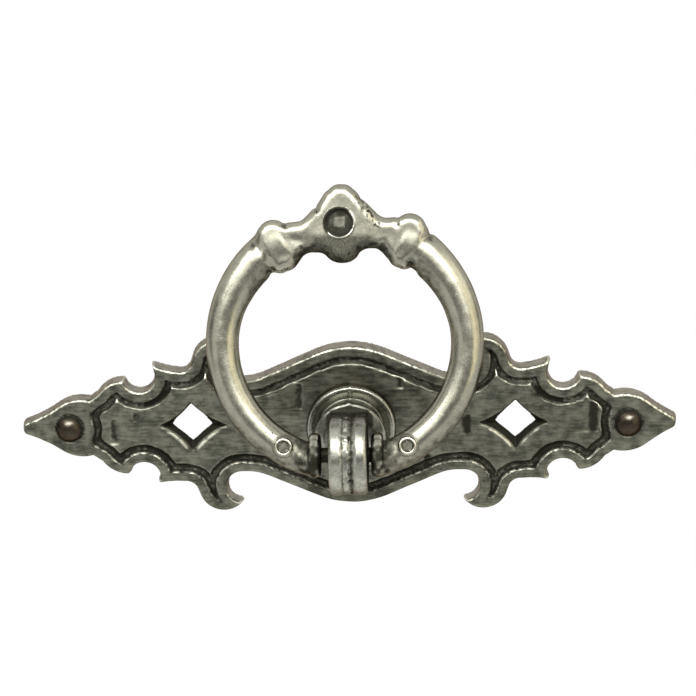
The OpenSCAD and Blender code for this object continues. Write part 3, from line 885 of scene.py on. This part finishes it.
def crest_black(x, y, z, speck):
    """Patina under the crest's arms, painted shade on its lower middle, black at the joints of its lobes, and
    flecks on its right shoulder.
    """
    side, height = np.abs(x), z - RING_TOP
    fine = noise(x, y, z, 0.32, 2)
    arch = smooth_step(-2.5, -0.7, crest_plan.at(x, z) + 0.7 * speck + 0.3 * fine)
    arch = (0.72 + 0.2 * speck) * (arch * smooth_step(-2.8, -4.2, height) * smooth_step(8.6, 7.6, side))
    # Painted shade on the lower middle of the crest.
    shade = 0.66 * smooth_step(-1.4, -3.2, height) * smooth_step(7.0, 4.0, side)
    joints = smooth_step(0.08, 0.32, crease_plan.at(x, z) + 0.06 * speck)
    for spot_x, spot_z, size in SPOTS:
        spot = bell(np.hypot(x - spot_x, height - spot_z), 0, size) * (1.0 + 0.5 * fine)
        joints = np.maximum(joints, spot * (y < 0.6))
    flecks = bell(segment_distance(x, height, 2.6, 3.0, 5.8, -1.6), 0, 1.1)
    flecks = 0.9 * flecks * smooth_step(0.05, 0.4, fine + 0.5 * speck) * smooth_step(0.8, 0.0, y)
    black = np.maximum(np.maximum(arch, shade), np.maximum(0.65 * joints, flecks))
    return black * (z > CREST_LOW)


def bar_black(x, z, speck):
    """Painted shade on the undersides of the bar, black by the collars with painted shade below the collars'
    tops, and black on the trunnions as painted shade in the gaps by the knuckle.
    """
    side, rise = np.abs(x), z - RING_RISE
    around = np.maximum(np.hypot(x, rise), 0.1)
    # Painted shade on the sides of the bar that face down.
    under = 0.52 * smooth_step(0.0, 0.6, (RING_R - around) / BAR_R * rise / around) * (1 + 0.3 * speck)
    under = under * smooth_step(-0.3, 0.5, crest_plan.at(x, z))
    collar = smooth_step(END_X + 1.3, END_X + 0.9, side)
    ends = 0.8 * smooth_step(END_X + 6.0, END_X + 1.2, side) * (1 - collar)
    # Painted shade on the collars below their tops.
    ends = ends + collar * 0.8 * smooth_step(3.0, 1.2, z)
    ends = ends * smooth_step(8, 4, np.abs(z)) * (0.85 + 0.4 * speck)
    # Black on the trunnions: painted shade in the gaps between the collars and the knuckle.
    pin = smooth_step(COLLAR_X + 0.1, COLLAR_X - 0.1, side) * smooth_step(5, 4, np.abs(z))
    return np.maximum(under, np.maximum(ends, pin))


def ring_paint(x, y, z):
    speck = noise(x, y, z, 0.7, 3)
    front = np.maximum(recess_black(x, z, speck), cup_black(x, z)) * (y < 0)
    return np.maximum(front, np.maximum(crest_black(x, y, z, speck), bar_black(x, z, speck)))


lean_back = Matrix.Translation((-RING_SLIDE * MM, -PIVOT_H * MM, 0)) @ Matrix.Rotation(-LEAN, 4, "X")
casting("ring_cast", ring_field, (-23.4, -4.0, -4.6), (23.4, 4.0, 44.8), 0.22,
        "ring", "ring", ring_metal, ring_paint, place=lean_back, both_faces=True)


# Nails


def nail_field(x, y, z):
    """A nail on the Y axis, with its head on the front of the plate."""
    h, across = -y - PLATE_T, np.hypot(x, z)
    head_r = NAIL_HEAD_D / 2
    dome_r = (head_r ** 2 + NAIL_HEAD_H ** 2) / (2 * NAIL_HEAD_H)
    dome = np.sqrt(across ** 2 + (h - NAIL_HEAD_H + dome_r) ** 2) - dome_r
    head = smooth_max(dome, -h, 0.25)
    neck = np.maximum(across - NAIL_NECK_D / 2, np.maximum(h - 0.2, -PLATE_T - h))
    taper = (across - NAIL_SHANK_D / 2 * np.clip((NAIL_REACH - y) / (2 * NAIL_SHANK_D), 0.05, 1)) * 0.97
    shank = np.maximum(taper, np.maximum(-y - PLATE_T, y - NAIL_REACH))
    return np.minimum(smooth_min(head, neck, 0.1), shank) + 0.03 * noise(x, y, z, 1.5, 3)


def nail_paint(x, y, z):
    """Black at the foot of the dome, and a painted highlight at the top of the dome."""
    foot = smooth_step(NAIL_HEAD_D / 2 - 0.45, NAIL_HEAD_D / 2 - 0.15, np.hypot(x, z))
    foot = foot * smooth_step(-PLATE_T - 0.75, -PLATE_T - 0.4, y)
    # Painted highlight at the top of the dome.
    brow_highlight = bell(np.hypot(0.5 * x, z - 1.4), 0, 0.5) * (y < -PLATE_T - 0.3)
    return foot * (1 - brow_highlight) - 0.5 * brow_highlight * (0.9 + 0.4 * noise(x, y, z, 0.6, 1))


for label, nail_x in zip(("nail_left", "nail_right"), NAIL_PLACES):
    casting(label + "_driven", nail_field, (-2.8, -4.4, -2.8), (2.8, 12.4, 2.8), 0.14,
            "base", label, nail_metal, nail_paint,
            place=Matrix.Translation((nail_x * MM, 0, 0)))


# Camera, at the photograph's viewing angle

DISTANCE = 330 * MM
ELEVATION = math.radians(21)
AZIMUTH = math.radians(2.5)
YAW = math.radians(-2.56)
PITCH = math.radians(-18.86)
ROLL = math.radians(1.55)
FOCAL_PIXELS = 1953
FRAME_PIXELS = 696
SENSOR = 36

forward = Vector((math.sin(YAW) * math.cos(PITCH), math.cos(YAW) * math.cos(PITCH), math.sin(PITCH)))
level = forward.cross(Vector((0, 0, 1))).normalized()
upward = level.cross(forward)
right = level * math.cos(ROLL) - upward * math.sin(ROLL)
up = level * math.sin(ROLL) + upward * math.cos(ROLL)
camera_data = bpy.data.cameras.new("camera")
camera_data.sensor_width = SENSOR
camera_data.lens = SENSOR * FOCAL_PIXELS / FRAME_PIXELS
camera_data.clip_start, camera_data.clip_end = 0.01, 20
camera = bpy.data.objects.new("camera", camera_data)
scene.collection.objects.link(camera)
turned = Matrix((right, up, -forward)).transposed().to_4x4()
stand_at = Vector((math.sin(AZIMUTH) * math.cos(ELEVATION), -math.cos(AZIMUTH) * math.cos(ELEVATION),
                   math.sin(ELEVATION))) * DISTANCE
camera.matrix_world = Matrix.Translation(stand_at) @ turned
scene.camera = camera


# Floor, backdrop and light


def seen(tree):
    """1 where the camera looks, straight or through a reflection or glass, and 0 for other rays."""
    ray = tree.nodes.new("ShaderNodeLightPath")
    found = ray.outputs["Is Camera Ray"]
    for name in ("Is Glossy Ray", "Is Transmission Ray"):
        either = tree.nodes.new("ShaderNodeMath")
        either.operation = "MAXIMUM"
        tree.links.new(found, either.inputs[0])
        tree.links.new(ray.outputs[name], either.inputs[1])
        found = either.outputs[0]
    return found


def mixed(tree, factor, a, b, output):
    """Puts a mix of two shaders on an output."""
    mix = tree.nodes.new("ShaderNodeMixShader")
    for socket, source in zip(mix.inputs, (factor, a, b)):
        tree.links.new(source, socket)
    tree.links.new(mix.outputs[0], output)


FILL = 0.85


def make_world():
    """Soft white light from all round, with a plain white background."""
    world = bpy.data.worlds.new("studio")
    world.use_nodes = True
    scene.world = world
    tree = world.node_tree
    fill = tree.nodes["Background"]
    fill.inputs["Color"].default_value = (1, 1, 1, 1)
    fill.inputs["Strength"].default_value = FILL
    white = tree.nodes.new("ShaderNodeBackground")
    white.inputs["Color"].default_value = (1, 1, 1, 1)
    white.inputs["Strength"].default_value = 1.0
    mixed(tree, seen(tree), fill.outputs[0], white.outputs[0], tree.nodes["World Output"].inputs[0])


FLOOR_Z = -0.11
FLOOR_SIZE = 3.0
FLOOR_FADES = (0.13, 0.24)      # distances over which the floor turns plain white


def make_floor():
    """A pale floor below the pull, which takes its shadow, and which is plain white further off."""
    mesh = bpy.data.meshes.new("floor")
    corners = [(sx * FLOOR_SIZE, sy * FLOOR_SIZE, FLOOR_Z) for sx, sy in ((-1, -1), (1, -1), (1, 1), (-1, 1))]
    mesh.from_pydata(corners, [], [(0, 1, 2, 3)])
    floor = bpy.data.objects.new("floor", mesh)
    scene.collection.objects.link(floor)
    n = Nodes("pale_floor")
    n.shader.inputs["Base Color"].default_value = (0.88, 0.88, 0.88, 1)
    n.shader.inputs["Roughness"].default_value = 0.9
    n.shader.inputs["Specular IOR Level"].default_value = 0.1
    far = n.add("ShaderNodeVectorMath", operation="LENGTH")
    n.put(far.inputs[0], n.object)
    fade = n.math("MULTIPLY", n.remap(far.outputs["Value"], *FLOOR_FADES), seen(n.tree))
    white = n.add("ShaderNodeEmission")
    mixed(n.tree, fade, n.shader.outputs[0], white.outputs[0], n.tree.nodes["Material Output"].inputs[0])
    mesh.materials.append(n.material)


def card(name, centre, size, level, tint=(1, 1, 1)):
    """A softly glowing card that faces the pull, and that shows only in reflections."""
    mesh = bpy.data.meshes.new(name)
    w, h = size[0] / 2, size[1] / 2
    mesh.from_pydata([(-w, -h, 0), (w, -h, 0), (w, h, 0), (-w, h, 0)], [], [(0, 1, 2, 3)])
    board = bpy.data.objects.new(name, mesh)
    board.location = centre
    board.rotation_euler = Vector(centre).to_track_quat("Z", "Y").to_euler()
    board.visible_camera = False
    board.visible_diffuse = False
    board.visible_shadow = False
    scene.collection.objects.link(board)
    n = Nodes(name)
    glow = n.add("ShaderNodeEmission")
    glow.inputs["Color"].default_value = (*tint, 1)
    glow.inputs["Strength"].default_value = level
    n.tree.links.new(glow.outputs[0], n.tree.nodes["Material Output"].inputs[0])
    mesh.materials.append(n.material)


def area_light(name, place, size, power, colour=(1, 1, 1)):
    data = bpy.data.lights.new(name, "AREA")
    data.shape = "RECTANGLE"
    data.size, data.size_y = size
    data.energy = power
    data.color = colour
    lamp = bpy.data.objects.new(name, data)
    lamp.location = place
    lamp.rotation_euler = (-Vector(place)).to_track_quat("-Z", "Y").to_euler()
    scene.collection.objects.link(lamp)


make_world()
make_floor()
card("card_front", (0, -1.3, -0.22), (3.0, 1.5), 0.31)
card("card_left", (-1.3, -0.3, -0.02), (1.5, 1.1), 0.36)
card("card_right", (1.3, -0.3, -0.02), (1.5, 1.1), 0.26, (1.0, 0.95, 0.80))
card("strip_left", (-0.98, -0.78, 0.22), (0.75, 1.1), 1.0)
card("strip_right", (0.98, -0.78, 0.22), (0.70, 1.1), 0.9, (1.0, 0.92, 0.72))
card("strip_high", (0, -1.15, 0.92), (3.6, 0.85), 2.5)
area_light("top_soft", (-0.1, -0.50, 0.64), (1.2, 0.45), 7.5)
area_light("warm_side", (0.75, -0.3, 0.3), (0.8, 0.8), 2.5, (1.0, 0.91, 0.74))

scene.view_settings.view_transform = "Standard"
